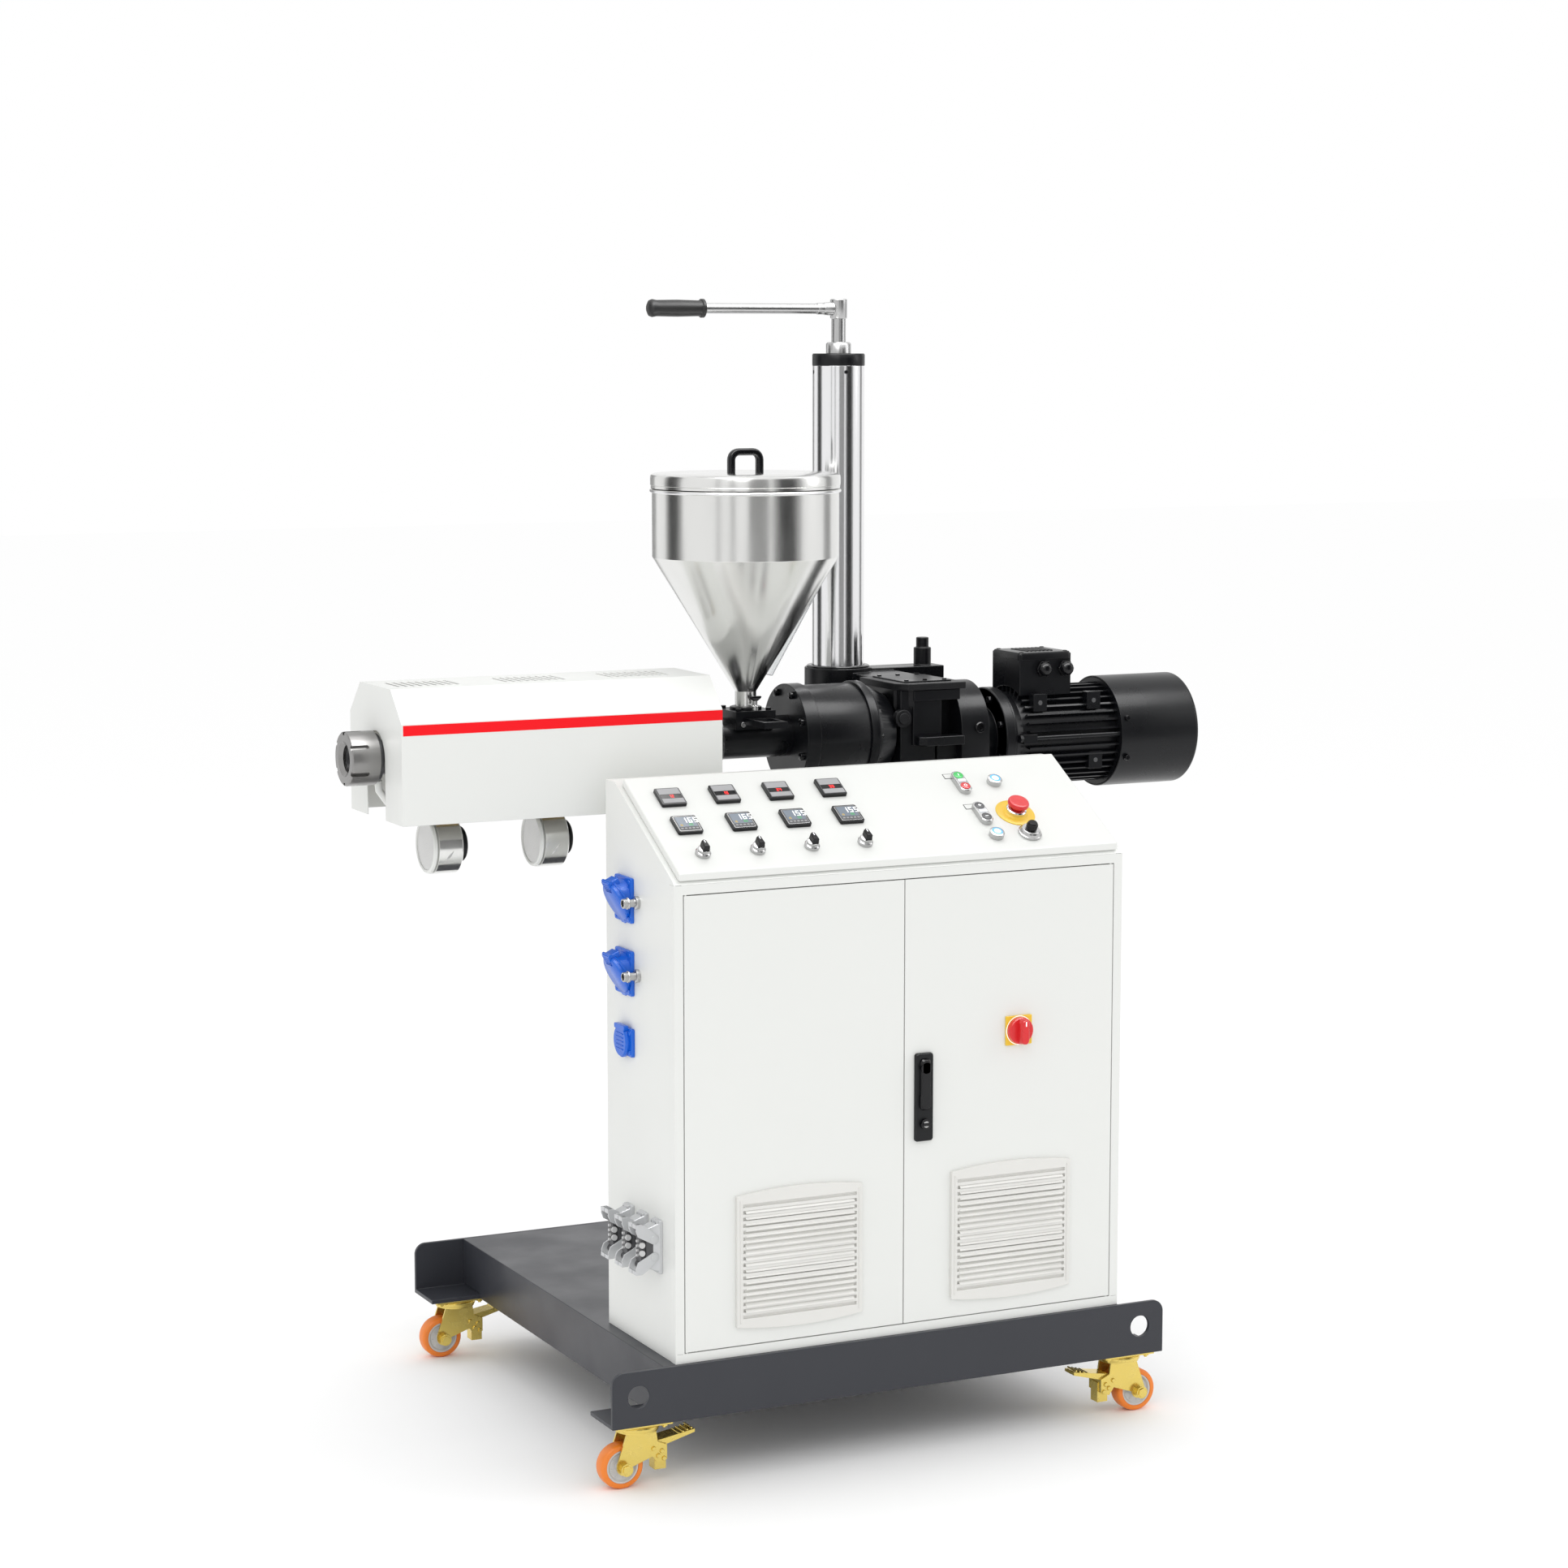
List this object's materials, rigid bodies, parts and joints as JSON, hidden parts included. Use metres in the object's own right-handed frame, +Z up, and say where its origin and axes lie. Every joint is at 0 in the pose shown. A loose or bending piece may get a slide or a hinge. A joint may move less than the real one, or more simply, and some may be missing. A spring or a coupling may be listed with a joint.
{
  "type": "mobile plastic extruder",
  "caption": "Mobile plastic extruder: shrouded barrel, hopper, gear motor on a height-adjustable column, sloping console cabinet and caster base.",
  "frame": {"origin": "on the floor under the middle of the machine's overall box", "axes": "+X towards the drive motor, -Y the cabinet doors' side, +Z up"},
  "size_m": [1.733, 1.0218, 2.0798],
  "materials": {
    "dark_steel": "satin powder coat, anthracite",
    "white_paint": "fine satin powder coat, off-white",
    "vent_plastic": "warm white moulded plastic",
    "yellow_zinc": "yellow passivated zinc",
    "orange_tread": "orange polyurethane",
    "black_paint": "black satin paint",
    "black_plastic": "black moulded plastic",
    "blue_plastic": "blue moulded plastic",
    "red_plastic": "red moulded plastic",
    "yellow_plastic": "yellow moulded plastic",
    "green_plastic": "green moulded plastic",
    "grey_plastic": "grey moulded plastic",
    "lamp_white": "white lamp face",
    "grey_casting": "light grey coated casting",
    "polished_steel": "polished stainless steel",
    "satin_steel": "satin turned steel",
    "dark_machined": "oxidised heat-darkened steel",
    "brass_band": "mica heater band, brass sheath",
    "black_rubber": "soft black rubber",
    "clear_sheet": "clear acrylic"
  },
  "bodies": {
    "base": {"base_front_angle": "dark_steel", "base_rear_angle": "dark_steel", "platform": "dark_steel", "caster_plates": "yellow_zinc", "cabinet_shell": "white_paint", "cabinet_front_frame": "white_paint", "console_lid": "white_paint", "panel_meters": "grey_plastic", "control_bezels": "satin_steel", "push_buttons": "satin_steel", "side_sockets": "blue_plastic", "heavy_connectors": "grey_casting", "column_tube": "polished_steel", "column_foot": "black_paint", "column_cap": "black_paint"},
    "left_door": {"door_left": "white_paint", "vent_left": "vent_plastic"},
    "right_door": {"door_right": "white_paint", "vent_right": "vent_plastic", "door_handle": "black_plastic", "main_switch_plate": "yellow_plastic"},
    "main_switch": {"main_switch_knob": "red_plastic"},
    "speed_control": {"speed_knob": "black_plastic"},
    "stop_control": {"stop_button": "red_plastic"},
    "extruder": {"carriage": "black_paint", "barrel": "dark_machined", "barrel_shroud": "white_paint", "heater_bands": "brass_band", "nozzle_nut": "dark_machined", "cooling_blowers": "satin_steel", "feed_section": "black_paint", "hopper_body": "polished_steel", "gear_drum": "black_paint", "gear_housing": "black_paint", "motor_flange": "black_paint", "motor_body": "black_paint", "fan_cover": "black_paint", "terminal_box": "black_paint"},
    "gate": {"feed_gate": "black_paint"},
    "lid": {"hopper_lid": "polished_steel", "hopper_handle": "black_plastic"},
    "crank": {"crank_arm": "polished_steel", "crank_grip": "black_rubber"},
    "selector_1": {"selector_knob_1": "black_plastic"},
    "selector_2": {"selector_knob_2": "black_plastic"},
    "selector_3": {"selector_knob_3": "black_plastic"},
    "selector_4": {"selector_knob_4": "black_plastic"},
    "swivel_front_left": {"caster_fork_front_left": "yellow_zinc"},
    "wheel_front_left": {"caster_wheel_front_left": "orange_tread"},
    "swivel_front_right": {"caster_fork_front_right": "yellow_zinc"},
    "wheel_front_right": {"caster_wheel_front_right": "orange_tread"},
    "swivel_rear_left": {"caster_fork_rear_left": "yellow_zinc"},
    "wheel_rear_left": {"caster_wheel_rear_left": "orange_tread"},
    "swivel_rear_right": {"caster_fork_rear_right": "yellow_zinc"},
    "wheel_rear_right": {"caster_wheel_rear_right": "orange_tread"}
  },
  "joints": [
    {"name": "caster_swivel_front_left", "type": "hinge", "parent": "base", "child": "swivel_front_left", "pos_m": [-0.5005, -0.4391, 0.115], "axis": [0, 0, 1], "continuous": true},
    {"name": "wheel_spin_front_left", "type": "hinge", "parent": "swivel_front_left", "child": "wheel_front_left", "pos_m": [-0.5325, -0.4391, 0.04], "axis": [0, 1, 0], "continuous": true},
    {"name": "caster_swivel_front_right", "type": "hinge", "parent": "base", "child": "swivel_front_right", "pos_m": [0.4875, -0.4391, 0.115], "axis": [0, 0, 1], "continuous": true},
    {"name": "wheel_spin_front_right", "type": "hinge", "parent": "swivel_front_right", "child": "wheel_front_right", "pos_m": [0.5195, -0.4391, 0.04], "axis": [0, 1, 0], "continuous": true},
    {"name": "caster_swivel_rear_left", "type": "hinge", "parent": "base", "child": "swivel_rear_left", "pos_m": [-0.5005, 0.4609, 0.115], "axis": [0, 0, 1], "continuous": true},
    {"name": "wheel_spin_rear_left", "type": "hinge", "parent": "swivel_rear_left", "child": "wheel_rear_left", "pos_m": [-0.5325, 0.4609, 0.04], "axis": [0, 1, 0], "continuous": true},
    {"name": "caster_swivel_rear_right", "type": "hinge", "parent": "base", "child": "swivel_rear_right", "pos_m": [0.4875, 0.4609, 0.115], "axis": [0, 0, 1], "continuous": true},
    {"name": "wheel_spin_rear_right", "type": "hinge", "parent": "swivel_rear_right", "child": "wheel_rear_right", "pos_m": [0.5195, 0.4609, 0.04], "axis": [0, 1, 0], "continuous": true},
    {"name": "left_door_hinge", "type": "hinge", "parent": "base", "child": "left_door", "pos_m": [-0.4185, -0.4756, 0.239], "axis": [0, 0, -1], "range_deg": [0, 105]},
    {"name": "right_door_hinge", "type": "hinge", "parent": "base", "child": "right_door", "pos_m": [0.4355, -0.4756, 0.239], "axis": [0, 0, 1], "range_deg": [0, 105]},
    {"name": "main_switch_turn", "type": "hinge", "parent": "right_door", "child": "main_switch", "pos_m": [0.2415, -0.4849, 0.758], "axis": [0, 1, 0], "range_deg": [0, 90]},
    {"name": "selector_turn_1", "type": "hinge", "parent": "base", "child": "selector_1", "pos_m": [-0.367, -0.4403, 1.11997], "axis": [0, -0.5, 0.866], "range_deg": [-45, 45]},
    {"name": "selector_turn_2", "type": "hinge", "parent": "base", "child": "selector_2", "pos_m": [-0.2612, -0.4403, 1.11997], "axis": [0, -0.5, 0.866], "range_deg": [-45, 45]},
    {"name": "selector_turn_3", "type": "hinge", "parent": "base", "child": "selector_3", "pos_m": [-0.1554, -0.4403, 1.11997], "axis": [0, -0.5, 0.866], "range_deg": [-45, 45]},
    {"name": "selector_turn_4", "type": "hinge", "parent": "base", "child": "selector_4", "pos_m": [-0.0496, -0.4403, 1.11997], "axis": [0, -0.5, 0.866], "range_deg": [-45, 45]},
    {"name": "speed_turn", "type": "hinge", "parent": "base", "child": "speed_control", "pos_m": [0.2845, -0.44749, 1.12043], "axis": [0, -0.5, 0.866], "range_deg": [-135, 135]},
    {"name": "stop_press", "type": "slide", "parent": "base", "child": "stop_control", "axis": [0, 0.5, -0.866], "range_m": [0, 0.005]},
    {"name": "crank_turn", "type": "hinge", "parent": "base", "child": "crank", "pos_m": [0.2315, 0.2279, 2.0415], "axis": [0, 0, 1], "range_deg": [-18000, 7200]},
    {"name": "height_slide", "type": "slide", "parent": "base", "child": "extruder", "axis": [0, 0, 1], "range_m": [-0.2501, 0.1001]},
    {"name": "gate_slide", "type": "slide", "parent": "extruder", "child": "gate", "axis": [0, 1, 0], "range_m": [0, 0.08]},
    {"name": "lid_lift", "type": "slide", "parent": "extruder", "child": "lid", "axis": [0, 0, 1], "range_m": [0, 0.12]}
  ],
  "couplings": [
    {"joint": "height_slide", "follows": "crank_turn", "m_per_rad": 0.00079577}
  ]
}
